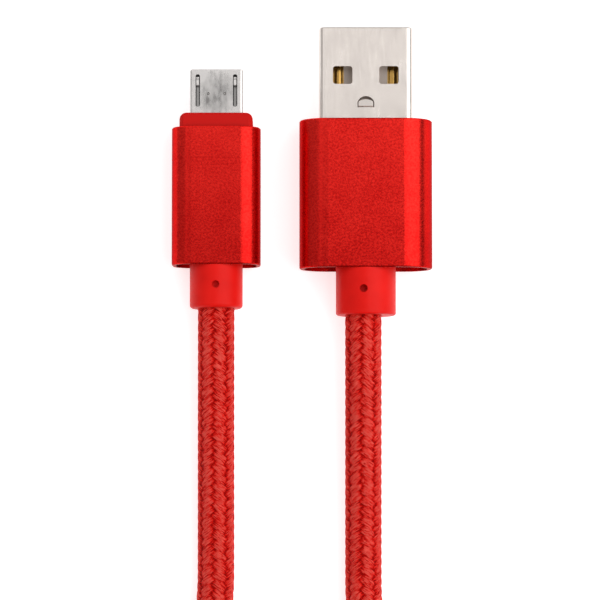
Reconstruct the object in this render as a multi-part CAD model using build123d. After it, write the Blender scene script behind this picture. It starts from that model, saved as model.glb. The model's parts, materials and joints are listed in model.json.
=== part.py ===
from build123d import *
import math
import os

# Braided charging cable with a USB-A plug and a micro-USB plug, in millimetres.
# +Z is up, +Y points to the plug tips, +X is to the right. The origin is the bottom
# centre of the box round the two plugs, which lie side by side on a table at z = 0.
# Each plug is built in a frame of its own: its tip at y = 0, its axis along Y at
# z = 0. Places along a plug are depths behind its tip, so they grow towards -Y.

# ---- Layout of the two plugs ----
AXIS_GAP = 19.2            # between the two plug axes, across
MICRO_SETBACK = 5.2        # the micro plug's tip lies this far behind the USB-A tip

# ---- USB-A plug ----
A_WIDTH, A_THICK = 17.06, 8.0          # aluminium sleeve, outside
A_CORNER, A_WALL = 3.7, 0.65
A_SHELL = (12.0, 4.5)                  # standard USB-A shell
A_SHELL_WALL, A_SHELL_CORNER = 0.3, 0.75
A_SHELL_LENGTH = 18.75
A_EXPOSED = 11.95                      # shell ahead of the sleeve
A_SLEEVE_LENGTH = 19.1
A_COLLAR_D, A_COLLAR_LENGTH, A_COLLAR_ROUND = 7.7, 5.95, 0.3
A_PINHOLE_D, A_PINHOLE_FROM_END = 1.0, 3.23
A_CONTACTS = (("vbus", -3.5, 1.3), ("data_minus", -1.0, 2.3),
              ("data_plus", 1.0, 2.3), ("ground", 3.5, 1.3))   # name, x, front depth
A_CONTACT_WIDTH, A_CONTACT_HIGH = 1.38, 0.25
A_CONTACT_CROWN_R = 1.2                # roundness of the strips across, where the socket touches them
A_CONTACT_PROUD = 0.05                 # the strips stand this far out of the tongue
A_TONGUE_TOP = 0.0                     # the tongue fills the lower half of the shell
A_BLOCK_FRONT, A_BLOCK_REAR = 8.6, 16.8
A_TAIL_END = 20.0                      # rear end of the solder tails
A_CABLE_SHIFT = -0.33                  # the cable leaves the collar this far off its centre
A_MOULD = (15.8, 27.0)                 # inner mould round the shell's rear and the solder joints
A_MOULD_SECTION, A_MOULD_ROUND = (13.4, 5.4), 1.2
A_JACKET_DEPTH, A_BRAID_DEPTH = 28.0, 30.5
A_WINDOW, A_WINDOW_ROUND = (2.5, 2.3), 0.35
A_WINDOW_X, A_WINDOW_DEPTH = 2.97, 6.23
A_SEAM = 0.08                          # gap where the folded edges of the shell meet

# ---- Micro-USB plug ----
B_WIDTH, B_THICK = 11.4, 7.2
B_CORNER, B_WALL = 2.55, 0.55
B_SHELL_WIDE, B_SHELL_NARROW, B_SHELL_HIGH = 6.85, 5.4, 1.8
B_SHELL_WALL, B_SHELL_BEVEL = 0.25, 0.18
B_SHELL_LENGTH = 9.8
B_EXPOSED = 5.85                       # shell ahead of the plastic lip
B_LIP = (9.4, 5.4)
B_LIP_LENGTH, B_LIP_ROUND, B_LIP_CORNER = 1.85, 0.35, 0.9
B_SLEEVE_LENGTH = 17.7
B_COLLAR_D, B_COLLAR_LENGTH, B_COLLAR_ROUND = 6.8, 5.5, 0.45
B_PINHOLE_D, B_PINHOLE_FROM_END = 0.95, 2.93
B_CONTACT_PITCH, B_CONTACT_WIDTH, B_CONTACT_THICK = 0.65, 0.3, 0.14
B_CONTACT_ROOT = 6.2                   # depth where each contact spring bends
B_BLOCK_FRONT, B_BLOCK_REAR = 5.3, 9.6
B_TAIL_Z = -0.28                       # middle height of the solder tails
B_TAIL_END = 11.6
B_MOULD = (8.6, 19.0)
B_MOULD_SECTION, B_MOULD_ROUND = (8.6, 4.2), 1.0
B_JACKET_DEPTH, B_BRAID_DEPTH = 20.0, 24.6
B_CORNER_CUT = 0.1                     # the side faces end this far below the middle
B_DIMPLE_X, B_DIMPLE_R, B_DIMPLE_DEPTH = 1.05, 0.17, 3.2
LATCH_X, LATCH_WIDTH, LATCH_ROOT = 2.4, 0.34, 7.0
LATCH_SLOT = (0.56, 4.2)
LATCH_SLOT_FRONT, SLOT_ROUND = 0.7, 0.25
HOOK_ABOVE_SHELL = 0.45

# ---- Cable ----
CABLE_D = 4.7                          # over the braid
JACKET_D = 3.6                         # under the braid
POWER_WIRE_D, DATA_WIRE_D = 0.8, 0.6
WIRE_CORE_R = 0.22
WIRE_ABOVE_TAIL = 0.27
# Wire, its diameter, and its place in the end of the jacket
WIRES = {"red": (POWER_WIRE_D, (-0.75, 0.45)), "white": (DATA_WIRE_D, (-0.35, -0.6)),
         "green": (DATA_WIRE_D, (0.35, -0.6)), "black": (POWER_WIRE_D, (0.75, 0.45))}
A_WIRE_X = {"red": -3.5, "white": -1.0, "green": 1.0, "black": 3.5}
B_WIRE_TAIL = {"red": (0, -0.15), "white": (1, 0.0), "green": (2, 0.0), "black": (4, 0.15)}
SLEEVE_RECESS = 2.2                    # hollow at the sleeve's rear, round the collar
FIT = 0.05                             # clearance between pressed-together pieces
FRONT_INSET = 0.3                      # the moulding ends this far inside the sleeve
EDGE = 0.15                            # small chamfer on a turned or sawn metal edge

# ---- Hank that holds the rest of the cable ----
HANK_NEAR_Y, HANK_FAR_Y = -90.5, -144.0    # centres of its two end loops
HANK_LOOP_R = 23.2                           # outside radius of the largest loop
HANK_WAIST = 14.6                            # half width where the strap holds it
HANK_HIGH = 9.7
HANK_CROSSING_HIGH = 12.5                    # where the turns cross, at the near end
STRAP_WIDTH, STRAP_THICK, STRAP_ROUND = 10.0, 0.8, 2.8

# ---- Worked out ----
half_width = (AXIS_GAP + A_WIDTH / 2 + B_WIDTH / 2) / 2
a_x, b_x = half_width - A_WIDTH / 2, B_WIDTH / 2 - half_width
a_z, b_z = A_THICK / 2, B_THICK / 2
a_cable_x = a_x + A_CABLE_SHIFT
a_sleeve_rear = A_EXPOSED + A_SLEEVE_LENGTH
a_end = a_sleeve_rear + A_COLLAR_LENGTH
b_sleeve_front = B_EXPOSED + B_LIP_LENGTH
b_sleeve_rear = b_sleeve_front + B_SLEEVE_LENGTH
b_end = b_sleeve_rear + B_COLLAR_LENGTH
tip_y = a_end / 2
a_place = Pos(a_x, tip_y, a_z)
b_place = Pos(b_x, tip_y - MICRO_SETBACK, b_z)
cable_r = CABLE_D / 2
hank_x = (a_x + b_x) / 2
hank_mid_y = (HANK_NEAR_Y + HANK_FAR_Y) / 2


# ---- Helpers ----
def prism(profile, front, rear):
    """A profile drawn across the plug, run from one depth behind the tip to another."""
    return extrude(Plane.XZ.offset(front) * profile, amount=rear - front)


def block(x, z, size_x, size_z, front, rear):
    return prism(Pos(x, z) * Rectangle(size_x, size_z), front, rear)


def side_plate(points, x, width):
    """A plate of the given side outline, as (depth, height) points, centred on x."""
    outline = make_face(Polyline([(-depth, height) for depth, height in points], close=True))
    return extrude(Plane.YZ.offset(x - width / 2) * outline, amount=width)


def end_edges(solid, which):
    """The outer edge loop of the end face at the front (-1) or at the rear (0)."""
    return solid.faces().sort_by(Axis.Y)[which].outer_wire().edges()


def swept_rod(points, diameter, radii):
    path = FilletPolyline(*points, radius=radii)
    return sweep(Plane(path @ 0, z_dir=path % 0) * Circle(diameter / 2), path=path)


def corner_radii(points):
    """For each corner of a route, 0.45 of its shorter run over the tangent of half the turn."""
    radii = []
    for before, here, after in zip(points, points[1:], points[2:]):
        run_in, run_out = Vector(*here) - Vector(*before), Vector(*after) - Vector(*here)
        turn = math.radians(run_in.get_angle(run_out))
        radii.append(0.45 * min(run_in.length, run_out.length) / math.tan(turn / 2))
    return radii


# ---- USB-A plug ----
def a_section(inset):
    """The sleeve's outline, moved in by inset."""
    return RectangleRounded(A_WIDTH - 2 * inset, A_THICK - 2 * inset, A_CORNER - inset)


def a_shell_section(inset):
    width, high = A_SHELL
    return RectangleRounded(width - 2 * inset, high - 2 * inset, A_SHELL_CORNER - inset)


def sleeve(section, wall, front, rear):
    """A length of extruded tube with a small chamfer round both sawn ends."""
    solid = prism(section(0), front, rear)
    solid = chamfer(end_edges(solid, -1) + end_edges(solid, 0), EDGE)
    return solid - prism(section(wall), front - 1, rear + 1)


def a_shell():
    """Folded steel tube with two latch windows in each wide side, and a stop tab."""
    solid = prism(a_shell_section(0), 0, A_SHELL_LENGTH)
    solid = fillet(end_edges(solid, -1), 0.2)
    solid -= prism(a_shell_section(A_SHELL_WALL), -1, A_SHELL_LENGTH + 1)
    window = extrude(RectangleRounded(*A_WINDOW, A_WINDOW_ROUND), amount=A_SHELL[1] + 2, both=True)
    for x in (-A_WINDOW_X, A_WINDOW_X):
        solid -= Pos(x, -A_WINDOW_DEPTH, 0) * window
    solid -= block(0, -A_SHELL[1] / 2, A_SEAM, 1, -1, A_SHELL_LENGTH + 1)
    opening, tab, score = a_stop_tab()
    return solid - opening + tab - score


def a_stop_tab():
    """The D-shaped hole, the tab pressed in from its rear edge, and the score it bends along."""
    half, rear, straight, bulge = 1.075, -10.3, -9.7, -8.95
    side_gap, nose_gap = 0.13, 0.42
    top = A_SHELL[1] / 2

    def d_shape(side_inset, nose_inset):
        side, nose = half - side_inset, bulge - nose_inset
        edge = Polyline((-side, straight), (-side, rear), (side, rear), (side, straight))
        return make_face(edge + ThreePointArc((side, straight), (0, nose), (-side, straight)))

    opening = Pos(0, 0, top - 2 * A_SHELL_WALL) * extrude(d_shape(0, 0), amount=3 * A_SHELL_WALL)
    flap = extrude(Pos(0, -rear) * d_shape(side_gap, nose_gap), amount=A_SHELL_WALL)
    root = Pos(0, 0, A_SHELL_WALL / 2) * Box(2 * (half - side_gap), 0.2, A_SHELL_WALL)
    press_in, score_side = 12, 0.13
    tab = Pos(0, rear, top - A_SHELL_WALL) * (Rot(-press_in, 0, 0) * flap + root)
    score = Pos(0, rear, top) * Rot(45, 0, 0) * Box(2 * half, score_side, score_side)
    return opening, tab, score


def a_insulator():
    """Tongue that carries the contacts, and the block behind it that fills the shell."""
    set_back, nose_chamfer = 0.4, 0.4
    width, high = A_SHELL
    bore = prism(a_shell_section(A_SHELL_WALL + FIT), set_back, A_BLOCK_REAR)
    solid = bore - block(0, A_TONGUE_TOP + high / 2, width, high, 0, A_BLOCK_FRONT)
    nose = solid.faces().sort_by(Axis.Y)[-1].edges().sort_by(Axis.Z)[-1]
    solid = chamfer(nose, nose_chamfer)
    pocket_wide, pocket_high, pocket_rear = 2.6, 1.4, 10.6      # room for the shell's stop tab
    solid -= block(0, high / 2 - FIT - pocket_high / 2, pocket_wide, pocket_high,
                   A_BLOCK_FRONT - 1, pocket_rear)
    groove_high = 2 * (A_CONTACT_HIGH - A_CONTACT_PROUD)
    for _, x, front in A_CONTACTS:
        solid -= block(x, A_TONGUE_TOP, A_CONTACT_WIDTH, groove_high, front, A_BLOCK_REAR + 1)
    return solid


def a_contact(x, front):
    """Flat gold-plated strip that lies in the tongue and ends in a solder tail."""
    top = A_TONGUE_TOP + A_CONTACT_PROUD
    bottom = top - A_CONTACT_HIGH
    ramp_drop, ramp_long = 0.1, 0.3
    outline = [(front, bottom), (front, top - ramp_drop), (front + ramp_long, top),
               (A_TAIL_END, top), (A_TAIL_END, bottom)]
    strip = side_plate(outline, x, A_CONTACT_WIDTH)
    exposed = block(x, top, A_CONTACT_WIDTH, A_CONTACT_HIGH, 0, A_BLOCK_FRONT)
    crown = prism(Pos(x, top - A_CONTACT_CROWN_R) * Circle(A_CONTACT_CROWN_R), 0, A_BLOCK_FRONT)
    return strip - (exposed - crown)


def wire_end(colour, start, jacket_depth, bare):
    """An insulated wire from the end of the jacket to its solder tail, its core bared there."""
    x, z, depth = start
    diameter, (jacket_x, jacket_z) = WIRES[colour]
    straight, widest_bend, core_inside = 1.5, 2.0, 0.4
    points = [(x, -depth, z), (x, -depth - straight, z),
              (jacket_x, straight - jacket_depth, jacket_z), (jacket_x, -jacket_depth, jacket_z)]
    core = Pos(x, -depth + bare / 2, z) * Rot(90, 0, 0) * Cylinder(WIRE_CORE_R, bare + core_inside)
    return swept_rod(points, diameter, [min(widest_bend, r) for r in corner_radii(points)]) + core


def solder_bead(x, z, depth, width, length):
    """A rounded bead of solder on a tail, over the bared core."""
    high, rounding = 0.5, 0.18
    bead = Pos(x, -depth, z) * Box(width, length, high, align=(Align.CENTER, Align.CENTER, Align.MIN))
    return fillet(bead.edges().group_by(Axis.Z)[-1] + bead.edges().filter_by(Axis.Z), rounding)


def cable_tail(jacket_depth, braid_depth, end):
    """The end of the cable inside the collar: jacket first, then the braid over it."""
    return prism(Circle(JACKET_D / 2), jacket_depth, braid_depth) + prism(
        Circle(cable_r), braid_depth, end)


def pinhole(diameter, depth, collar_r):
    """Cutter for the hole that a locating pin of the mould leaves, from above to the cable."""
    return Pos(0, -depth, cable_r) * Cylinder(
        diameter / 2, collar_r, align=(Align.CENTER, Align.CENTER, Align.MIN))


def overmould(section, wall, front, sleeve_rear, end, collar_d, collar_round):
    """Plastic that fills the sleeve and goes on as a round collar, which the sleeve stops on."""
    inside = section(wall + FIT)
    recess = sleeve_rear - SLEEVE_RECESS
    collar = prism(Circle(collar_d / 2), sleeve_rear, end)
    collar = fillet(end_edges(collar, 0), collar_round)
    neck = prism(inside & Circle(collar_d / 2), recess, sleeve_rear)
    return prism(inside, front, recess) + neck + collar


def a_parts():
    parts = {"usb_a_shell": a_shell(), "usb_a_insulator": a_insulator()}
    for name, x, front in A_CONTACTS:
        parts[f"usb_a_contact_{name}"] = a_contact(x, front)
    tail_z = A_TONGUE_TOP + A_CONTACT_PROUD
    wire_gap, bare, bead_wide, bead_long = 0.2, 1.8, 0.8, 1.6
    beads = []
    for colour, x in A_WIRE_X.items():
        wire = wire_end(colour, (x, tail_z + WIRE_ABOVE_TAIL, A_TAIL_END + wire_gap),
                        A_JACKET_DEPTH, bare)
        parts[f"usb_a_wire_{colour}"] = wire
        beads.append(solder_bead(x, tail_z, A_TAIL_END - bare / 2, bead_wide, bead_long) - wire)
    parts["usb_a_solder_joints"] = Compound(children=beads)
    aside = Pos(A_CABLE_SHIFT)
    parts["usb_a_cable_tail"] = aside * cable_tail(A_JACKET_DEPTH, A_BRAID_DEPTH, a_end)
    sealed = list(parts.values())
    envelope = prism(a_shell_section(0), 0, A_SHELL_LENGTH)
    mould_block = prism(RectangleRounded(*A_MOULD_SECTION, A_MOULD_ROUND), *A_MOULD)
    mould = mould_block - envelope
    for piece in sealed[2:]:
        mould -= piece
    outer = overmould(a_section, A_WALL, A_EXPOSED + FRONT_INSET, a_sleeve_rear, a_end,
                      A_COLLAR_D, A_COLLAR_ROUND)
    outer -= envelope + mould_block
    outer -= aside * prism(Circle(JACKET_D / 2), A_MOULD[1], A_BRAID_DEPTH)
    outer -= aside * prism(Circle(cable_r), A_BRAID_DEPTH, a_end)
    outer -= aside * pinhole(A_PINHOLE_D, a_end - A_PINHOLE_FROM_END, A_COLLAR_D / 2)
    parts["usb_a_inner_mould"] = mould
    parts["usb_a_overmould"] = outer
    parts["usb_a_sleeve"] = sleeve(a_section, A_WALL, A_EXPOSED, a_sleeve_rear)
    return {name: a_place * solid for name, solid in parts.items()}


# ---- Micro-USB plug ----
def b_section(inset):
    """The sleeve's outline, moved in by inset."""
    return RectangleRounded(B_WIDTH - 2 * inset, B_THICK - 2 * inset, B_CORNER - inset)


def b_shell_section(inset):
    """Wide above, with the two lower corners cut, as the standard shell has it."""
    wide, narrow, high = B_SHELL_WIDE / 2, B_SHELL_NARROW / 2, B_SHELL_HIGH / 2
    fold_radius = 0.35
    points = [(-wide, high), (wide, high), (wide, -B_CORNER_CUT), (narrow, -high),
              (-narrow, -high), (-wide, -B_CORNER_CUT)]
    outline = make_face(Polyline(points, close=True))
    outline = fillet(outline.vertices(), fold_radius)
    return offset(outline, amount=-inset) if inset else outline


def b_shell():
    solid = prism(b_shell_section(0), 0, B_SHELL_LENGTH)
    solid = chamfer(end_edges(solid, -1), B_SHELL_BEVEL)
    solid -= prism(b_shell_section(B_SHELL_WALL), -1, B_SHELL_LENGTH + 1)
    slot_wide, slot_long = LATCH_SLOT
    slot = extrude(RectangleRounded(slot_wide, slot_long, SLOT_ROUND), amount=B_SHELL_HIGH)
    top, notch = B_SHELL_HIGH / 2, 0.3
    for side in (-1, 1):
        solid -= Pos(side * LATCH_X, -LATCH_SLOT_FRONT - slot_long / 2, top / 4) * slot
        solid -= Pos(side * B_DIMPLE_X, -B_DIMPLE_DEPTH, top) * Sphere(B_DIMPLE_R)
        solid -= Pos(side * B_SHELL_WIDE / 2, -B_DIMPLE_DEPTH, top) * Box(notch, notch, notch)
    return solid


def contact_x(index):
    return (index - 2) * B_CONTACT_PITCH


def b_insulator():
    """Floor under the contacts with a comb of thin ribs, and the block that fills the shell."""
    set_back, floor_top = 0.4, -0.46
    rib_wide, rib_top, rib_front = 0.12, -0.23, 0.5
    groove_top, groove_bottom = -0.06, -0.46
    latch_room_top, latch_room_bottom, latch_side_room = 0.75, 0.05, 0.07
    overlap, root_room, latch_root_room = 0.1, 0.1, 0.25
    solid = prism(b_shell_section(B_SHELL_WALL + FIT / 2), set_back, B_BLOCK_REAR)
    solid -= block(0, floor_top + B_SHELL_HIGH, B_SHELL_WIDE, 2 * B_SHELL_HIGH, 0, B_BLOCK_FRONT)
    rib_bottom = floor_top - overlap
    for i in range(6):
        solid += block(contact_x(i - 0.5), (rib_top + rib_bottom) / 2, rib_wide, rib_top - rib_bottom,
                       rib_front, B_BLOCK_FRONT + overlap)
    for i in range(5):
        x = contact_x(i)
        solid -= block(x, (groove_top + groove_bottom) / 2, B_CONTACT_WIDTH + rib_wide,
                       groove_top - groove_bottom, B_BLOCK_FRONT - 1, B_CONTACT_ROOT + root_room)
        solid -= block(x, B_TAIL_Z, B_CONTACT_WIDTH, B_CONTACT_THICK, B_CONTACT_ROOT,
                       B_BLOCK_REAR + 1)
    for x in (-LATCH_X, LATCH_X):
        solid -= block(x, (latch_room_top + latch_room_bottom) / 2, LATCH_WIDTH + 2 * latch_side_room,
                       latch_room_top - latch_room_bottom, B_BLOCK_FRONT - 1,
                       LATCH_ROOT + latch_root_room)
    return solid


def b_contact(index):
    """Contact spring: flat at its root, with a raised crown near the front that is pressed down."""
    low, high, t = -0.35, 0.0, B_CONTACT_THICK
    run_end, crown, nose = 4.6, 1.6, 0.75
    under = [(B_CONTACT_ROOT, low), (run_end, low), (2.0, high - 0.05), (crown, high - 0.02),
             (1.2, high - 0.08), (nose + 0.05, high - 0.18)]
    over = [(nose, high - 0.18 + t), (1.1, high - 0.05 + t), (crown, high + t),
            (2.05, high - 0.03 + t), (run_end, low + t), (B_CONTACT_ROOT, low + t)]
    return side_plate(under + over, contact_x(index), B_CONTACT_WIDTH)


def b_lip(rear):
    """Plastic block at the front: rounded front corners and softened edges, kept inside the sleeve."""
    solid = prism(Rectangle(*B_LIP), B_EXPOSED, rear)
    front_corners = solid.edges().filter_by(Axis.Z).group_by(Axis.Y)[-1]
    solid = fillet(front_corners, B_LIP_CORNER)
    flat_faces = solid.faces().sort_by(Axis.Z)
    rims = [face.outer_wire().edges().sort_by(Axis.Y)[1:] for face in (flat_faces[0], flat_faces[-1])]
    softened = fillet(rims[0] + rims[1], B_LIP_ROUND)
    return softened & prism(b_section(B_WALL + FIT), B_EXPOSED, rear)


def b_tail(index):
    gap = 0.03
    front = B_CONTACT_ROOT + gap
    return block(contact_x(index), B_TAIL_Z, B_CONTACT_WIDTH, B_CONTACT_THICK, front, B_TAIL_END)


def latch(x):
    """Spring arm under the slot, with the hook that stands out of it and a rounded root."""
    crest = B_SHELL_HIGH / 2 + HOOK_ABOVE_SHELL
    arm_top, arm_low = 0.6, 0.35
    nose, hook_rear = 1.0, 2.28
    root = LATCH_ROOT - (arm_top - arm_low) / 2
    outline = [(root, arm_low), (nose, arm_low), (nose, arm_top), (nose + 0.08, crest - 0.25),
               (nose + 0.25, crest - 0.08), (nose + 0.5, crest), (hook_rear - 0.16, crest),
               (hook_rear - 0.04, crest - 0.06), (hook_rear, arm_top), (root, arm_top)]
    arm = side_plate(outline, x, LATCH_WIDTH)
    knuckle = Pos(x, -LATCH_ROOT, (arm_top + arm_low) / 2) * Rot(0, 90, 0) * Cylinder(
        (arm_top - arm_low) / 2, LATCH_WIDTH)
    return arm + knuckle


def b_parts():
    parts = {"micro_shell": b_shell(), "micro_insulator": b_insulator()}
    for index in range(5):
        parts[f"micro_contact_{index + 1}"] = b_contact(index)
    parts["micro_latch_left"] = latch(-LATCH_X)
    parts["micro_latch_right"] = latch(LATCH_X)
    first_sealed = len(parts)
    parts["micro_contact_tails"] = Compound(children=[b_tail(index) for index in range(5)])
    tail_z = B_TAIL_Z + B_CONTACT_THICK / 2
    wire_gap, bare, bead_wide, bead_long = 0.2, 1.4, 0.5, 1.2
    beads = []
    for colour, (index, shift) in B_WIRE_TAIL.items():
        x = contact_x(index)
        wire = wire_end(colour, (x + shift, tail_z + WIRE_ABOVE_TAIL, B_TAIL_END + wire_gap),
                        B_JACKET_DEPTH, bare)
        parts[f"micro_wire_{colour}"] = wire
        beads.append(solder_bead(x, tail_z, B_TAIL_END - bare / 2, bead_wide, bead_long) - wire)
    parts["micro_solder_joints"] = Compound(children=beads)
    parts["micro_cable_tail"] = cable_tail(B_JACKET_DEPTH, B_BRAID_DEPTH, b_end)
    envelope = prism(b_shell_section(0), 0, B_SHELL_LENGTH)
    mould_block = prism(RectangleRounded(*B_MOULD_SECTION, B_MOULD_ROUND), *B_MOULD)
    mould = mould_block - envelope
    for piece in list(parts.values())[first_sealed:]:
        mould -= piece
    front = b_sleeve_front + FRONT_INSET
    outer = overmould(b_section, B_WALL, front, b_sleeve_rear, b_end, B_COLLAR_D, B_COLLAR_ROUND)
    outer += b_lip(front + FRONT_INSET)
    outer -= envelope + mould_block
    outer -= prism(Circle(JACKET_D / 2), B_MOULD[1], B_BRAID_DEPTH)
    outer -= prism(Circle(cable_r), B_BRAID_DEPTH, b_end)
    outer -= pinhole(B_PINHOLE_D, b_end - B_PINHOLE_FROM_END, B_COLLAR_D / 2)
    parts["micro_inner_mould"] = mould
    parts["micro_overmould"] = outer
    parts["micro_sleeve"] = sleeve(b_section, B_WALL, b_sleeve_front, b_sleeve_rear)
    return {name: b_place * solid for name, solid in parts.items()}


# ---- Cable outside the plugs ----
def hank_body():
    """Outer shape of the tied hank: two end loops and the waist that the strap draws in."""
    half_run = (HANK_NEAR_Y - HANK_FAR_Y) / 2
    waist_r = (HANK_WAIST ** 2 + half_run ** 2 - HANK_LOOP_R ** 2) / (2 * (HANK_LOOP_R - HANK_WAIST))
    share = HANK_LOOP_R / (HANK_LOOP_R + waist_r)
    touch_x, touch_y = share * (HANK_WAIST + waist_r), share * half_run
    plan = Rectangle(2 * touch_x, 2 * (half_run - touch_y))
    for side in (-1, 1):
        plan -= Pos(side * (HANK_WAIST + waist_r), 0) * Circle(waist_r)
    for end in (-1, 1):
        plan += Pos(0, end * half_run) * Circle(HANK_LOOP_R)
    near_end = Pos(0, half_run) * (Circle(HANK_LOOP_R) & Pos(0, HANK_LOOP_R) * Rectangle(
        2 * HANK_LOOP_R, 2 * HANK_LOOP_R))
    solid = extrude(plan, amount=HANK_HIGH) + extrude(near_end, amount=HANK_CROSSING_HIGH)
    return Pos(hank_x, hank_mid_y, 0) * solid


def strap():
    """Hook-and-loop strap round the waist of the hank, flat on the table."""
    inner_high = HANK_HIGH - STRAP_THICK
    inner = RectangleRounded(2 * HANK_WAIST, inner_high, STRAP_ROUND - STRAP_THICK)
    outer = RectangleRounded(2 * (HANK_WAIST + STRAP_THICK), inner_high + 2 * STRAP_THICK,
                             STRAP_ROUND)
    ring = extrude(Plane.XZ.offset(-STRAP_WIDTH / 2) * (outer - inner), amount=STRAP_WIDTH)
    return Pos(hank_x, hank_mid_y, STRAP_THICK + inner_high / 2) * ring


# Each lead goes straight out of its collar, down to the table and into the hank.
A_ROUTE = [(a_cable_x, tip_y - a_end, a_z), (a_cable_x, -30.0, a_z), (a_cable_x, -45.0, cable_r),
           (a_cable_x, -60.0, cable_r), (13.4, -73.5, cable_r)]
B_ROUTE = [(b_x, tip_y - MICRO_SETBACK - b_end, b_z), (b_x, -29.5, b_z), (b_x, -45.0, cable_r),
           (b_x, -58.0, cable_r), (-15.4, -72.0, 6.4)]


def lead(route, name):
    radii = corner_radii(route)
    print(name, "bend radii", [round(r, 1) for r in radii])
    tube = swept_rod(route, CABLE_D, radii)
    length = FilletPolyline(*route, radius=radii).length
    print(name, "length", round(length, 2), "volume ratio",
          round(tube.volume / (math.pi * cable_r ** 2 * length), 4))
    return tube


def cable_parts():
    hank, tie = hank_body(), strap()
    hank -= tie
    return {"usb_a_lead": lead(A_ROUTE, "usb_a_lead") - hank,
            "micro_lead": lead(B_ROUTE, "micro_lead") - hank,
            "cable_hank": hank, "hank_strap": tie}


os.makedirs("parts", exist_ok=True)
for node, shape in {**a_parts(), **b_parts(), **cable_parts()}.items():
    export_step(shape, f"parts/{node}.step")
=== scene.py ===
import json
import math

import bpy
import numpy as np
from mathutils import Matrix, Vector


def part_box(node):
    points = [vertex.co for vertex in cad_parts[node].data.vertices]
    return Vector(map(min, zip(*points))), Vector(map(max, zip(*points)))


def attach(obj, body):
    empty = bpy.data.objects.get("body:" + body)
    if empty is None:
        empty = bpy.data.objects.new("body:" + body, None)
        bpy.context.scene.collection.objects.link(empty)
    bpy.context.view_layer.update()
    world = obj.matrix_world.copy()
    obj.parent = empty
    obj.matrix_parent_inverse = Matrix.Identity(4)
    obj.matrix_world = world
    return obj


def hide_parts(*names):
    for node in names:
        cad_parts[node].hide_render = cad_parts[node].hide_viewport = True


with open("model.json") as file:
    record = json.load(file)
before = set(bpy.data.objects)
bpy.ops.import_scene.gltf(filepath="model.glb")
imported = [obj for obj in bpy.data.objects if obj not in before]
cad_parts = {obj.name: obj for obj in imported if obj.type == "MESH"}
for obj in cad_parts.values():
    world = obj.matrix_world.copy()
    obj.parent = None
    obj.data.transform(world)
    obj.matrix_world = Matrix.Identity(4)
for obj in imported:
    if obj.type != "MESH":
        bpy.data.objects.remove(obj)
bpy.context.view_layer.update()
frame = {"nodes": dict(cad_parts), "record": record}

# Looks of the braided charging cable, in the frame of the CAD model.
# Blender works in metres; sizes here are written in millimetres times MM.
MM = 0.001

# ---- Places read from the CAD frame ----
a_low, a_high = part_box("usb_a_overmould")
b_low, b_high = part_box("micro_overmould")
a_x, b_x = (a_low.x + a_high.x) / 2, (b_low.x + b_high.x) / 2
a_z, b_z = (a_low.z + a_high.z) / 2, (b_low.z + b_high.z) / 2
tail_low, tail_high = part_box("usb_a_cable_tail")
a_cable_x = (tail_low.x + tail_high.x) / 2
a_exit = (a_cable_x, a_low.y, a_z)
b_exit = (b_x, b_low.y, b_z)

# ---- Cable ----
CABLE_D = 4.7 * MM
CABLE_R = CABLE_D / 2
FLOOR_LINE = CABLE_R              # height of the centreline where the cable lies on the floor
# Points of the two leads, from each plug to the hank
A_LEAD = [a_exit, (a_cable_x, -30.0 * MM, a_z), (a_cable_x, -45.0 * MM, FLOOR_LINE),
          (a_cable_x, -60.0 * MM, FLOOR_LINE), (13.4 * MM, -73.5 * MM, FLOOR_LINE),
          (19.6 * MM, -84.0 * MM, FLOOR_LINE)]
B_LEAD = [b_exit, (b_x, -29.5 * MM, b_z), (b_x, -45.0 * MM, FLOOR_LINE), (b_x, -58.0 * MM, FLOOR_LINE),
          (-15.4 * MM, -72.0 * MM, 6.4 * MM), (-20.0 * MM, -82.5 * MM, 8.0 * MM)]

# ---- Hank: four turns, drawn in at the waist by the strap ----
HANK_X = (a_x + b_x) / 2
HANK_NEAR, HANK_FAR = -90.5 * MM, -144.0 * MM
STRAP_THICK = 0.8 * MM
LOW, HIGH = FLOOR_LINE, 6.42 * MM
ROOM = 0.2 * MM
# side, distance from the middle at the waist and layer of each strand, in order
STRANDS = [(1, 12.0, 0), (-1, 12.0, 0), (1, 7.2, 0), (-1, 7.2, 0),
           (1, 4.8, 1), (-1, 4.8, 1), (1, 9.6, 1), (-1, 9.6, 1)]
# radius and height of each half turn at its start and end, and its hump in the middle
FAR_LOOPS = [(20.7, 20.7, LOW, LOW, 0), (15.9, 15.9, LOW, LOW, 0),
             (14.4, 14.4, HIGH + ROOM, HIGH + ROOM, 0), (18.8, 18.8, HIGH, HIGH, 0)]
NEAR_LOOPS = [(20.9, 15.9, LOW, LOW, 0), (15.9, 14.4, LOW, HIGH + ROOM, 0.8),
              (14.4, 18.8, HIGH + ROOM, HIGH, 3.9)]
FIRST_NEAR = (20.7, LOW)
LAST_NEAR = (18.8, HIGH)
LOOP_POINTS = 6


def smooth(t):
    """Slow start and slow end, from 0 to 1."""
    return t * t * (3 - 2 * t)


def ease(t):
    """From 0 to 1 with a steep middle."""
    return 2 * t * t if t < 0.5 else 1 - 2 * (1 - t) ** 2


def loop_points(centre, end, side, loop):
    """Control points of one half turn of the hank, round the centre of its end."""
    r0, r1, z0, z1, hump = loop
    points = []
    for i in range(LOOP_POINTS):
        t = (i + 0.5) / LOOP_POINTS
        angle = math.pi * t
        r = (r0 + (r1 - r0) * t) * MM / math.cos(math.pi / LOOP_POINTS / 2)
        height = z0 + (z1 - z0) * smooth(t) + hump * MM * math.sin(angle)
        points.append((HANK_X + side * r * math.cos(angle), centre + end * r * math.sin(angle), height))
    return points


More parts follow.
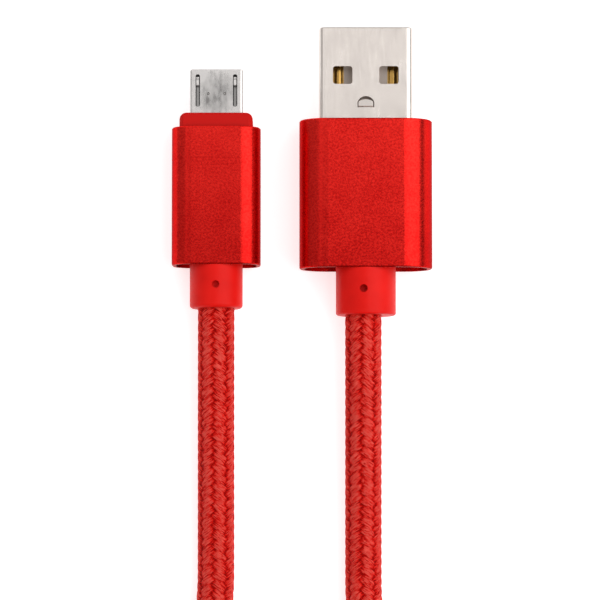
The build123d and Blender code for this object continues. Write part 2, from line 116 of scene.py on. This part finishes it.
def strand_points(strand, y0, y1, start, end):
    """Control points of one run through the waist; start and end are (radius, height)."""
    side, slot, layer = strand
    waist_z = (HIGH if layer else LOW) + STRAP_THICK
    points = []
    for t in (0.1, 0.27, 0.42, 0.58, 0.73, 0.9):
        out = abs(2 * t - 1)
        r, z = start if t < 0.5 else end
        spread = slot + (r - slot) * ease(min(1, out * 1.08))
        height = waist_z + (z - waist_z) * smooth(min(1, out * 1.3))
        points.append((HANK_X + side * spread * MM, y0 + (y1 - y0) * t, height))
    return points


def hank_points():
    """Control points of the whole hank, run by run."""
    points = []
    for turn, far in enumerate(FAR_LOOPS):
        came = (NEAR_LOOPS[turn - 1][1], NEAR_LOOPS[turn - 1][3]) if turn else FIRST_NEAR
        points += strand_points(STRANDS[2 * turn], HANK_NEAR, HANK_FAR, came, (far[0], far[2]))
        points += loop_points(HANK_FAR, -1, 1, far)
        last = turn == len(NEAR_LOOPS)
        goes = LAST_NEAR if last else (NEAR_LOOPS[turn][0], NEAR_LOOPS[turn][2])
        points += strand_points(STRANDS[2 * turn + 1], HANK_FAR, HANK_NEAR, (far[1], far[3]), goes)
        if not last:
            points += loop_points(HANK_NEAR, 1, -1, NEAR_LOOPS[turn])
    return points


def spline_line(points):
    """The points that a smooth NURBS line through the route follows, as an array."""
    curve = bpy.data.curves.new("route", "CURVE")
    curve.dimensions = "3D"
    curve.resolution_u = 40
    spline = curve.splines.new("NURBS")
    spline.points.add(len(points) - 1)
    for point, place in zip(spline.points, points):
        point.co = (*place, 1)
    spline.order_u = 3
    spline.use_endpoint_u = True
    holder = bpy.data.objects.new("route", curve)
    bpy.context.scene.collection.objects.link(holder)
    mesh = bpy.data.meshes.new_from_object(holder)
    line = np.array([v.co for v in mesh.vertices], float)
    bpy.data.objects.remove(holder)
    return line


def arc_lengths(line):
    steps = np.linalg.norm(np.diff(line, axis=0), axis=1)
    return np.concatenate([[0], np.cumsum(steps)])


def resample(line, places):
    along = arc_lengths(line)
    return np.stack([np.interp(places, along, line[:, k]) for k in range(3)], axis=1)


def unit(v):
    return v / np.linalg.norm(v, axis=-1, keepdims=True)


def carried_normals(line, first):
    """Tangents of the line, and normals carried along it without twist."""
    tangents = unit(np.gradient(line, axis=0))
    normals = np.empty_like(line)
    normal = np.array(first, float)
    for k, tangent in enumerate(tangents):
        normal = normal - tangent * np.dot(normal, tangent)
        normal /= np.linalg.norm(normal)
        normals[k] = normal
    return tangents, normals


def grid_faces(rows, columns):
    """Quads of a tube whose vertices are stored ring by ring."""
    r = np.arange(rows - 1)[:, None]
    c = np.arange(columns)[None, :]
    after = (c + 1) % columns
    quads = np.stack([r * columns + c, r * columns + after,
                      (r + 1) * columns + after, (r + 1) * columns + c], axis=2)
    return quads.reshape(-1, 4)


def mesh_object(name, vertices, faces, material, smooth_faces=True):
    """A mesh of quads from arrays, linked to the scene."""
    mesh = bpy.data.meshes.new(name)
    mesh.vertices.add(len(vertices))
    mesh.vertices.foreach_set("co", np.asarray(vertices, np.float32).ravel())
    mesh.loops.add(faces.size)
    mesh.loops.foreach_set("vertex_index", faces.astype(np.int32).ravel())
    mesh.polygons.add(len(faces))
    mesh.polygons.foreach_set("loop_start", np.arange(0, faces.size, faces.shape[1], dtype=np.int32))
    mesh.update(calc_edges=True)
    mesh.polygons.foreach_set("use_smooth", np.full(len(faces), smooth_faces))
    mesh.materials.append(material)
    mesh.update()
    made = bpy.data.objects.new(name, mesh)
    bpy.context.scene.collection.objects.link(made)
    return made


# ---- Braid ----
CARRIERS = 8                      # strands each way round
BRAID_LAY = 10.2 * MM             # one strand goes once round in this length
BRAID_LIFT = 0.22 * MM            # how far a strand rises and dips from the mean surface
BRAID_SLANT = 0.38                # share of a strand's width by which its ends are squeezed into line
BRAID_STEEP = 1.0                 # how flat a strand runs on top before it dips
BRAID_CROWN = 0.055 * MM          # roundness of one flat strand
CROWN_WIDTH = 0.98                # width of a strand as a share of its spacing
CROWN_POWER = 2.4                 # how flat its rounded top is
BRAID_MEAN_R = CABLE_R - BRAID_LIFT - BRAID_CROWN + 0.03 * MM
COLUMN_CENTRE = math.radians(-30.5)  # the rising column left of the middle, seen from above
AROUND = 96
FINE_STEP, COARSE_STEP = 0.127 * MM, 0.26 * MM
FINE_LENGTH = 46 * MM             # finely meshed length of each lead


def crown(across):
    """Roundness of a strand: 1 along its middle, 0 at its edges."""
    return np.clip(1 - np.abs(2 * across / CROWN_WIDTH) ** CROWN_POWER, 0, 1) ** 0.5


def lift(strand, other):
    """Share of the lift of a strand where it crosses the others: 1 on top, -1 underneath."""
    wave = np.cos(math.pi / 2 * (strand + other - 0.5))
    return np.tanh(BRAID_STEEP * wave) / math.tanh(BRAID_STEEP)


def braid_height(p, q):
    """Height over the mean surface where the strand numbers are p one way and q the other."""
    i, j = np.round(p), np.round(q)
    over_p = BRAID_LIFT * lift(i + BRAID_SLANT * (p - i), q) + BRAID_CROWN * crown(p - i)
    over_q = -BRAID_LIFT * lift(j + BRAID_SLANT * (q - j), p) + BRAID_CROWN * crown(q - j)
    return np.maximum(over_p, over_q)


def ring_places(length):
    """Places of the rings along the cable: close together on the leads, wider on the hank."""
    fine = np.arange(0, FINE_LENGTH, FINE_STEP)
    count = int((length - 2 * FINE_LENGTH) / COARSE_STEP)
    middle = np.linspace(FINE_LENGTH, length - FINE_LENGTH, count)
    return np.concatenate([fine, middle, length - fine[::-1]])


def braid_turns(places, up_at_end):
    """Turn of the pattern at each ring, so that both leads show the same columns from above."""
    repeat = math.pi / 2              # the pattern is the same again after a quarter turn
    p_centre = math.pi / 16           # middle of a rising column in the pattern
    start = p_centre + COLUMN_CENTRE
    end = p_centre - COLUMN_CENTRE - up_at_end
    end -= round((end - start) / repeat) * repeat
    share = np.clip((places - FINE_LENGTH) / (places[-1] - 2 * FINE_LENGTH), 0, 1)
    return start + (end - start) * share


def add_strand_map(cord, p, q):
    """UV map that gives the material both strand numbers at each corner."""
    corners = np.stack([np.stack([w[:-1, :-1], w[:-1, 1:], w[1:, 1:], w[1:, :-1]], axis=2)
                        for w in (p, q)], axis=-1)
    layer = cord.data.uv_layers.new(name="strands")
    layer.data.foreach_set("uv", corners.astype(np.float32).ravel())


def braided_cord(look):
    """The whole cable as a tube of braided strands, and the line that it follows."""
    line = spline_line(A_LEAD + hank_points() + B_LEAD[::-1])
    places = ring_places(arc_lengths(line)[-1])
    centres = resample(line, places)
    tangents, normals = carried_normals(centres, (0, 0, 1))
    sides = np.cross(tangents, normals)
    turns = braid_turns(places, math.atan2(sides[-1, 2], normals[-1, 2]))
    angle = np.linspace(0, 2 * math.pi, AROUND + 1)[None, :]
    share = (angle + turns[:, None]) / (2 * math.pi)
    lay = (places / BRAID_LAY)[:, None]
    p, q = CARRIERS * (share - lay), CARRIERS * (share + lay)
    radius = (BRAID_MEAN_R + braid_height(p, q))[:, :AROUND, None]
    angle = angle[:, :AROUND, None]
    out = np.cos(angle) * normals[:, None] + np.sin(angle) * sides[:, None]
    vertices = (centres[:, None] + radius * out).reshape(-1, 3)
    cord = mesh_object("braided_cable", vertices, grid_faces(len(places), AROUND), look)
    add_strand_map(cord, p, q)
    return cord, line


# ---- Materials ----
# Noise scales, in cells per metre
SKIN = 3000                       # fine skin of moulded plastic
CLOUD = 300                       # slow changes of tone
DRAWN = (3000, 400, 3000)         # drawing marks on metal, long in Y


def material(name, **values):
    """A node material, its tree and its shader, with constant values set on the shader."""
    made = bpy.data.materials.new(name)
    made.use_nodes = True
    shader = made.node_tree.nodes["Principled BSDF"]
    for socket, value in values.items():
        shader.inputs[socket.replace("_", " ")].default_value = value
    return made, made.node_tree, shader


def add(tree, kind, settings=None, **inputs):
    """A node with its settings, and each input either linked or set."""
    made = tree.nodes.new(kind)
    for key, value in (settings or {}).items():
        setattr(made, key, value)
    for key, value in inputs.items():
        socket = made.inputs[int(key[1:]) if key[0] == "i" and key[1:].isdigit() else key.replace("_", " ")]
        if isinstance(value, bpy.types.NodeSocket):
            tree.links.new(value, socket)
        else:
            socket.default_value = value
    return made


def calc(tree, operation, *values):
    inputs = {f"i{number}": value for number, value in enumerate(values)}
    return add(tree, "ShaderNodeMath", {"operation": operation}, **inputs).outputs[0]


def place(tree):
    """Position in the shared frame, in metres."""
    return add(tree, "ShaderNodeNewGeometry").outputs["Position"]


def part_of(tree, vector, axis):
    return add(tree, "ShaderNodeSeparateXYZ", None, Vector=vector).outputs[axis]


def combined(tree, x, y, z):
    return add(tree, "ShaderNodeCombineXYZ", None, X=x, Y=y, Z=z).outputs[0]


def pick(tree, top, one, other):
    """One value where top is 1, the other where it is 0."""
    return add(tree, "ShaderNodeMix", None, i0=top, i2=other, i3=one).outputs[0]


def blend(tree, one, share, other):
    """Two values mixed, with the share of the first."""
    return calc(tree, "ADD", calc(tree, "MULTIPLY", one, share), calc(tree, "MULTIPLY", other, 1 - share))


def scaled(tree, vector, scale):
    """A vector with each part times its own factor."""
    return add(tree, "ShaderNodeVectorMath", {"operation": "MULTIPLY"}, i0=vector, i1=scale).outputs[0]


def noise(tree, vector, scale, detail=2.0, roughness=0.5):
    return add(tree, "ShaderNodeTexNoise", None, Vector=vector, Scale=scale, Detail=detail,
               Roughness=roughness).outputs["Fac"]


def ramp(tree, factor, stops):
    made = add(tree, "ShaderNodeValToRGB", None, Fac=factor)
    elements = made.color_ramp.elements
    while len(elements) < len(stops):
        elements.new(0.5)
    for element, (where, colour) in zip(elements, stops):
        element.position = where
        element.color = (*colour, 1)
    return made.outputs["Color"]


def levels(tree, factor, low, high, to_low, to_high):
    """A value taken from one range to another, held at both ends."""
    made = add(tree, "ShaderNodeMapRange", None, i0=factor, i1=low, i2=high, i3=to_low, i4=to_high)
    return made.outputs[0]


def bump(tree, height, distance):
    return add(tree, "ShaderNodeBump", None, Height=height, Distance=distance, Strength=1.0).outputs["Normal"]


def connect(tree, shader, **sources):
    for key, source in sources.items():
        tree.links.new(source, shader.inputs[key.replace("_", " ")])


def anodised():
    """Blasted aluminium dyed red: fine grain, slow changes of tone, and painted shade that darkens it towards
    the collar.
    """
    made, tree, shader = material("anodised_red", Metallic=1.0, Specular_Tint=(0.55, 0.22, 0.20, 1.0),
                                  Coat_Weight=0.1, Coat_Roughness=0.3)
    where = place(tree)
    grain = noise(tree, where, 3600, 3.0, 0.65)
    cloud = noise(tree, where, 260, 2.0)
    # painted shade: the tone falls off towards the collar
    painted_collar_shade = levels(tree, part_of(tree, where, "Y"), -14 * MM, 7 * MM, -0.12, 0.04)
    tone = calc(tree, "ADD", blend(tree, grain, 0.75, cloud), painted_collar_shade)
    colour = ramp(tree, tone, [(0.22, (0.41, 0.003, 0.002)), (0.34, (0.50, 0.004, 0.003)),
                               (0.66, (0.74, 0.019, 0.013))])
    connect(tree, shader, Base_Color=colour, Roughness=levels(tree, grain, 0.3, 0.7, 0.24, 0.32),
            Normal=bump(tree, grain, 0.010 * MM))
    return made


def metal(name, dark, light, roughness, grain_scale=DRAWN, depth=0.002):
    """Plated or bare metal with faint lengthways drawing marks and small smudges."""
    made, tree, shader = material(name, Metallic=1.0)
    where = place(tree)
    drawn = noise(tree, scaled(tree, where, grain_scale), 1.0, 3.0)
    smudge = noise(tree, where, 350, 3.0, 0.6)
    tone = blend(tree, drawn, 0.4, smudge)
    colour = ramp(tree, tone, [(0.3, dark), (0.7, light)])
    connect(tree, shader, Base_Color=colour,
            Roughness=levels(tree, tone, 0.3, 0.7, roughness * 0.8, roughness * 1.2),
            Normal=bump(tree, drawn, depth * MM))
    return made


def plastic(name, dark, light, roughness, **values):
    """Moulded plastic with a fine eroded skin."""
    made, tree, shader = material(name, **values)
    where = place(tree)
    skin = noise(tree, where, SKIN, 3.0, 0.6)
    cloud = noise(tree, where, CLOUD, 2.0)
    colour = ramp(tree, cloud, [(0.3, dark), (0.7, light)])
    connect(tree, shader, Base_Color=colour,
            Roughness=levels(tree, skin, 0.3, 0.7, roughness * 0.85, roughness * 1.15),
            Normal=bump(tree, skin, 0.003 * MM))
    return made


def lift_nodes(tree, strand, other):
    """The same share of lift as lift(), worked out by nodes."""
    phase = calc(tree, "ADD", calc(tree, "ADD", strand, other), -0.5)
    wave = calc(tree, "COSINE", calc(tree, "MULTIPLY", phase, math.pi / 2))
    steep = calc(tree, "TANH", calc(tree, "MULTIPLY", wave, BRAID_STEEP))
    return calc(tree, "MULTIPLY", steep, 1 / math.tanh(BRAID_STEEP))


def crown_nodes(tree, across):
    """The same roundness as crown(), worked out by nodes."""
    share = calc(tree, "ABSOLUTE", calc(tree, "MULTIPLY", across, 2 / CROWN_WIDTH))
    wide = calc(tree, "POWER", share, CROWN_POWER)
    return calc(tree, "SQRT", calc(tree, "MAXIMUM", calc(tree, "SUBTRACT", 1.0, wide), 0.0))


def red_moulding():
    """Red moulded plastic with an eroded skin, and painted shade that darkens the lip ahead of the sleeve."""
    made, tree, shader = material("red_moulding", Specular_IOR_Level=0.12)
    where = place(tree)
    skin = noise(tree, where, SKIN, 3.0, 0.6)
    cloud = noise(tree, where, CLOUD, 2.0)
    # painted shade: the moulding grows darker ahead of the sleeve, over the lip
    lip = levels(tree, part_of(tree, where, "Y"), 0.0, 5 * MM, 0.0, 1.0)
    tone = calc(tree, "SUBTRACT", cloud, lip)
    colour = ramp(tree, tone, [(0.0, (0.58, 0.004, 0.002)), (0.3, (0.74, 0.006, 0.003)),
                               (0.7, (0.83, 0.009, 0.005))])
    connect(tree, shader, Base_Color=colour, Roughness=levels(tree, skin, 0.3, 0.7, 0.36, 0.48),
            Normal=bump(tree, skin, 0.005 * MM))
    return made


def micro_shell_metal():
    """Dull nickel with random stains, and a painted reflection that leaves the middle of its flat darker and
    its edges brighter.
    """
    made, tree, shader = material("nickel_plate_dull", Metallic=1.0)
    where = place(tree)
    low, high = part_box("micro_shell")
    middle = (low + high) / 2
    offset = add(tree, "ShaderNodeVectorMath", {"operation": "SUBTRACT"}, i0=where,
                 i1=(middle.x, high.y - 3.4 * MM, high.z)).outputs[0]
    reach = scaled(tree, offset, (1 / (2.3 * MM), 1 / (2.9 * MM), 0.0))
    painted_reflection_reach = add(tree, "ShaderNodeVectorMath", {"operation": "LENGTH"}, i0=reach).outputs["Value"]
    stain = noise(tree, scaled(tree, where, (1500, 600, 1500)), 1.0, 3.0, 0.6)
    drawn = noise(tree, scaled(tree, where, DRAWN), 1.0, 3.0)
    # painted reflection: darker in the middle of the flat, brighter towards its edges; the stains added to it
    # are random
    stain_and_painted_reflection = calc(tree, "ADD", levels(tree, painted_reflection_reach, 0.55, 1.25, 0.0, 0.5), stain)
    tone = calc(tree, "MULTIPLY_ADD", drawn, 0.25, calc(tree, "MULTIPLY", stain_and_painted_reflection, 0.85))
    colour = ramp(tree, tone, [(0.38, (0.22, 0.21, 0.205)), (0.58, (0.40, 0.385, 0.375)),
                               (0.90, (0.60, 0.575, 0.56))])
    connect(tree, shader, Base_Color=colour, Roughness=levels(tree, stain, 0.3, 0.7, 0.22, 0.36),
            Normal=bump(tree, stain, 0.012 * MM))
    return made


def latch_metal():
    """Spring steel, with painted shade along the low arm and a painted highlight on the raised hook."""
    made, tree, shader = material("latch_steel", Metallic=1.0)
    where = place(tree)
    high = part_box("micro_latch_left")[1]
    # painted light by height: shade on the low arm, a highlight on the hook
    painted_height_light = levels(tree, part_of(tree, where, "Z"), high.z - 0.45 * MM, high.z - 0.15 * MM, 0.0, 0.6)
    drawn = noise(tree, scaled(tree, where, DRAWN), 1.0, 3.0)
    tone = calc(tree, "MULTIPLY_ADD", drawn, 0.4, painted_height_light)
    colour = ramp(tree, tone, [(0.1, (0.17, 0.165, 0.16)), (0.8, (0.66, 0.63, 0.61))])
    connect(tree, shader, Base_Color=colour, Roughness=levels(tree, drawn, 0.3, 0.7, 0.22, 0.3),
            Normal=bump(tree, drawn, 0.002 * MM))
    return made


def strand_on_top(tree):
    """Which strand lies on top: its number, place across and along, roundness and lift."""
    strands = add(tree, "ShaderNodeUVMap", {"uv_map": "strands"}).outputs["UV"]
    p, q = part_of(tree, strands, "X"), part_of(tree, strands, "Y")
    i, j = calc(tree, "ROUND", p), calc(tree, "ROUND", q)
    across_p, across_q = calc(tree, "SUBTRACT", p, i), calc(tree, "SUBTRACT", q, j)
    crown_p, crown_q = crown_nodes(tree, across_p), crown_nodes(tree, across_q)
    lift_p = lift_nodes(tree, calc(tree, "MULTIPLY_ADD", across_p, BRAID_SLANT, i), q)
    lift_q = lift_nodes(tree, calc(tree, "MULTIPLY_ADD", across_q, BRAID_SLANT, j), p)
    lift_q = calc(tree, "MULTIPLY", lift_q, -1.0)
    ratio = BRAID_CROWN / BRAID_LIFT
    high_p = calc(tree, "MULTIPLY_ADD", crown_p, ratio, lift_p)
    high_q = calc(tree, "MULTIPLY_ADD", crown_q, ratio, lift_q)
    top = calc(tree, "GREATER_THAN", high_p, high_q)
    other_way = calc(tree, "ADD", j, 31.0)    # keeps the two ways' strand numbers apart
    pairs = (i, other_way), (across_p, across_q), (q, p), (crown_p, crown_q), (lift_p, lift_q)
    return [pick(tree, top, one, other) for one, other in pairs]


def braid_material():
    """Nylon strands: fine filaments along each strand, with a painted highlight on the crowns and painted
    shade at the strand edges and where it dips.
    """
    made, tree, shader = material("red_nylon_braid", Specular_IOR_Level=0.05)
    strand, across, along, round_top, lifted = strand_on_top(tree)
    fibre_place = combined(tree, calc(tree, "MULTIPLY", across, 8.0), calc(tree, "MULTIPLY", along, 1.1),
                           calc(tree, "MULTIPLY", strand, 3.7))
    fibre = levels(tree, noise(tree, fibre_place, 1.0, 3.0, 0.7), 0.38, 0.62, 0.0, 1.0)
    patch_place = combined(tree, calc(tree, "MULTIPLY", along, 0.35), 0.0,
                           calc(tree, "MULTIPLY", strand, 5.3))
    patch = noise(tree, patch_place, 1.0, 1.0)
    # painted shade at the strand edges
    strand_edge_shade = levels(tree, round_top, 0.0, 0.8, 0.80, 1.0)
    # painted shade where a strand dips under the others, and painted light where it lies on top
    column = levels(tree, lifted, 0.2, 0.92, 0.36, 1.25)
    tone = calc(tree, "MULTIPLY", calc(tree, "MULTIPLY", blend(tree, fibre, 0.72, patch), strand_edge_shade), column)
    # the palest stops are a painted highlight on the crowns
    colour = ramp(tree, tone, [(0.10, (0.34, 0.001, 0.001)), (0.26, (0.84, 0.006, 0.003)),
                               (0.45, (1.0, 0.034, 0.024)), (0.80, (1.0, 0.10, 0.075))])
    connect(tree, shader, Base_Color=colour, Roughness=levels(tree, fibre, 0.0, 1.0, 0.5, 0.7),
            Normal=bump(tree, fibre, 0.12 * MM))
    return made


def strap_material():
    """Woven loop fabric of the strap."""
    made, tree, shader = material("strap_fabric", Sheen_Weight=0.3, Sheen_Roughness=0.5)
    where = scaled(tree, place(tree), (2 * math.pi / (0.45 * MM),) * 3)
    weave = calc(tree, "MULTIPLY", calc(tree, "SINE", part_of(tree, where, "X")),
                 calc(tree, "SINE", part_of(tree, where, "Y")))
    fluff = noise(tree, place(tree), 4000, 3.0, 0.6)
    height = calc(tree, "ADD", calc(tree, "MULTIPLY", weave, 0.4), fluff)
    colour = ramp(tree, height, [(0.2, (0.012, 0.012, 0.014)), (0.9, (0.05, 0.05, 0.055))])
    connect(tree, shader, Base_Color=colour, Roughness=levels(tree, fluff, 0.2, 0.8, 0.75, 0.95),
            Normal=bump(tree, height, 0.12 * MM))
    return made


MATERIALS = {
    "red_aluminium": anodised(),
    "nickel": metal("nickel_plate", (0.64, 0.58, 0.54), (0.73, 0.665, 0.62), 0.24),
    "gold": metal("gold_plate", (0.32, 0.18, 0.045), (0.46, 0.28, 0.08), 0.2),
    "spring_steel": metal("spring_steel", (0.42, 0.40, 0.39), (0.54, 0.52, 0.50), 0.24),
    "solder": metal("solder", (0.42, 0.42, 0.44), (0.62, 0.62, 0.64), 0.3, (900, 900, 900), 0.01),
    "red_plastic": red_moulding(),
    "black_plastic": plastic("black_moulding", (0.020, 0.020, 0.020), (0.032, 0.031, 0.030), 0.5),
    "pale_plastic": plastic("pale_moulding", (0.56, 0.47, 0.41), (0.66, 0.56, 0.49), 0.45),
    "natural_mould": plastic("inner_moulding", (0.60, 0.58, 0.52), (0.72, 0.70, 0.64), 0.5),
    "wire_red": plastic("wire_red", (0.50, 0.015, 0.012), (0.62, 0.022, 0.018), 0.45),
    "wire_white": plastic("wire_white", (0.70, 0.69, 0.66), (0.80, 0.79, 0.76), 0.45),
    "wire_green": plastic("wire_green", (0.03, 0.30, 0.06), (0.05, 0.38, 0.09), 0.45),
    "wire_black": plastic("wire_black", (0.015, 0.015, 0.015), (0.025, 0.025, 0.025), 0.45),
    "red_braid": braid_material(),
    "strap": strap_material(),
}

# Pieces that look different from the rest of their slot
LATCH = latch_metal()
# the braid inside the collars is painted near-black red: painted shade of the hole it lies in
BRAID_IN_COLLAR_SHADE = plastic("braid_in_collar_painted_shade", (0.10, 0.001, 0.001), (0.16, 0.002, 0.002), 0.7,
                          Specular_IOR_Level=0.1)
OWN_MATERIALS = {"micro_shell": micro_shell_metal(), "micro_latch_left": LATCH, "micro_latch_right": LATCH,
                 "usb_a_cable_tail": BRAID_IN_COLLAR_SHADE, "micro_cable_tail": BRAID_IN_COLLAR_SHADE}


def dress_cad_nodes():
    """Each CAD node that stays takes the detailed material of its own slot."""
    slots = {}
    for part in frame["record"]["subparts"]:
        slots[part["node"]] = part["material_slot"]
    for name, node in frame["nodes"].items():
        node.data.materials.clear()
        node.data.materials.append(OWN_MATERIALS.get(name, MATERIALS[slots[name]]))


# ---- Strap ----
STRAP_CORNER = 2.8 * MM           # outer radius of its four bends
STRAP_EDGE = 0.25 * MM            # bevel of its edges


def strap_bends(half_x, half_z):
    """Round the band: the centre of the bend at each point, and the way out from it."""
    centres, ways = [], []
    for side, up, first in ((1, 1, 0), (-1, 1, 90), (-1, -1, 180), (1, -1, 270)):
        for step in range(9):
            angle = math.radians(first + 90 * step / 8)
            centres.append((side * (half_x - STRAP_CORNER), 0, up * (half_z - STRAP_CORNER)))
            ways.append((math.cos(angle), 0, math.sin(angle)))
    return np.array(centres), np.array(ways)


def strap(look):
    """Flat band round the waist of the hank, as large as the CAD strap."""
    low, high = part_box("hank_strap")
    middle, half = (low + high) / 2, (high - low) / 2
    centres, ways = strap_bends(half.x, half.z)
    # Round the section: place along Y, and depth below the outside
    section = [(-half.y, STRAP_EDGE), (-half.y, STRAP_THICK - STRAP_EDGE),
               (-half.y + STRAP_EDGE, STRAP_THICK), (half.y - STRAP_EDGE, STRAP_THICK),
               (half.y, STRAP_THICK - STRAP_EDGE), (half.y, STRAP_EDGE),
               (half.y - STRAP_EDGE, 0), (-half.y + STRAP_EDGE, 0)]
    rings = [np.array(middle) + centres + (STRAP_CORNER - depth) * ways + (0, y, 0)
             for y, depth in section]
    vertices = np.concatenate(rings)
    faces = grid_faces(len(section) + 1, len(ways)) % len(vertices)
    return mesh_object("hank_strap_band", vertices, faces, look)


# ---- Stage, light and camera ----
FLOOR_HALF = 2.0
FLOOR_GLOW = 0.66
WORLD_LIGHT = 0.28
# name, centre, point it faces, width, height and power of each soft panel
PANELS = [("top_panel", (-0.128, 0.203, 0.4), (-0.128, 0.203, 0), 0.317, 0.35, 0.30),
          ("left_panel", (-0.35, 0, 0.39), (0, 0, 0.39), 0.7, 0.72, 0.55),
          ("right_panel", (0.37, 0, 0.48), (0, 0, 0), 0.78, 0.7, 3.6)]
EYE = (-0.26 * MM, -52.3 * MM, 468.6 * MM)
AIM = (-0.26 * MM, -16.5 * MM, 4.0 * MM)
LENS = 218                        # long lens, so that little perspective shows


def soft_light(name, centre, aim, width, height, power):
    """A rectangular panel that the camera doesn't see."""
    data = bpy.data.lights.new(name, "AREA")
    data.shape = "RECTANGLE"
    data.size, data.size_y = width, height
    data.energy = power
    lamp = bpy.data.objects.new(name, data)
    bpy.context.scene.collection.objects.link(lamp)
    lamp.location = centre
    lamp.rotation_euler = (Vector(aim) - Vector(centre)).to_track_quat("-Z", "Y").to_euler()
    lamp.visible_camera = False
    return lamp


def floor():
    made, tree, shader = material("pale_floor", Roughness=0.8, Emission_Color=(1, 1, 1, 1),
                                  Emission_Strength=FLOOR_GLOW)
    tone = noise(tree, place(tree), 8, 2.0)
    connect(tree, shader, Base_Color=ramp(tree, tone, [(0.3, (0.74, 0.74, 0.74)), (0.7, (0.77, 0.77, 0.77))]))
    corners = FLOOR_HALF * np.array([(-1, -1, 0), (1, -1, 0), (1, 1, 0), (-1, 1, 0)])
    mesh_object("floor", corners, np.array([[0, 1, 2, 3]]), made, False)


def studio():
    world = bpy.data.worlds.new("studio")
    bpy.context.scene.world = world
    world.use_nodes = True
    background = world.node_tree.nodes["Background"]
    background.inputs["Color"].default_value = (1, 1, 1, 1)
    background.inputs["Strength"].default_value = WORLD_LIGHT
    for panel in PANELS:
        soft_light(*panel)
    bpy.context.scene.view_settings.view_transform = "Standard"


def camera():
    data = bpy.data.cameras.new("camera")
    data.lens, data.sensor_width = LENS, 36
    data.clip_start, data.clip_end = 0.01, 20
    eye = bpy.data.objects.new("camera", data)
    bpy.context.scene.collection.objects.link(eye)
    eye.location = EYE
    eye.rotation_euler = (Vector(AIM) - Vector(EYE)).to_track_quat("-Z", "Y").to_euler()
    bpy.context.scene.camera = eye


dress_cad_nodes()
cord, cord_line = braided_cord(MATERIALS["red_braid"])
band = strap(MATERIALS["strap"])
for piece, slot, nodes in ((cord, "red_braid", ("usb_a_lead", "micro_lead", "cable_hank")),
                           (band, "strap", ("hank_strap",))):
    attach(piece, "cable")
    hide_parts(*nodes)

floor()
studio()
camera()
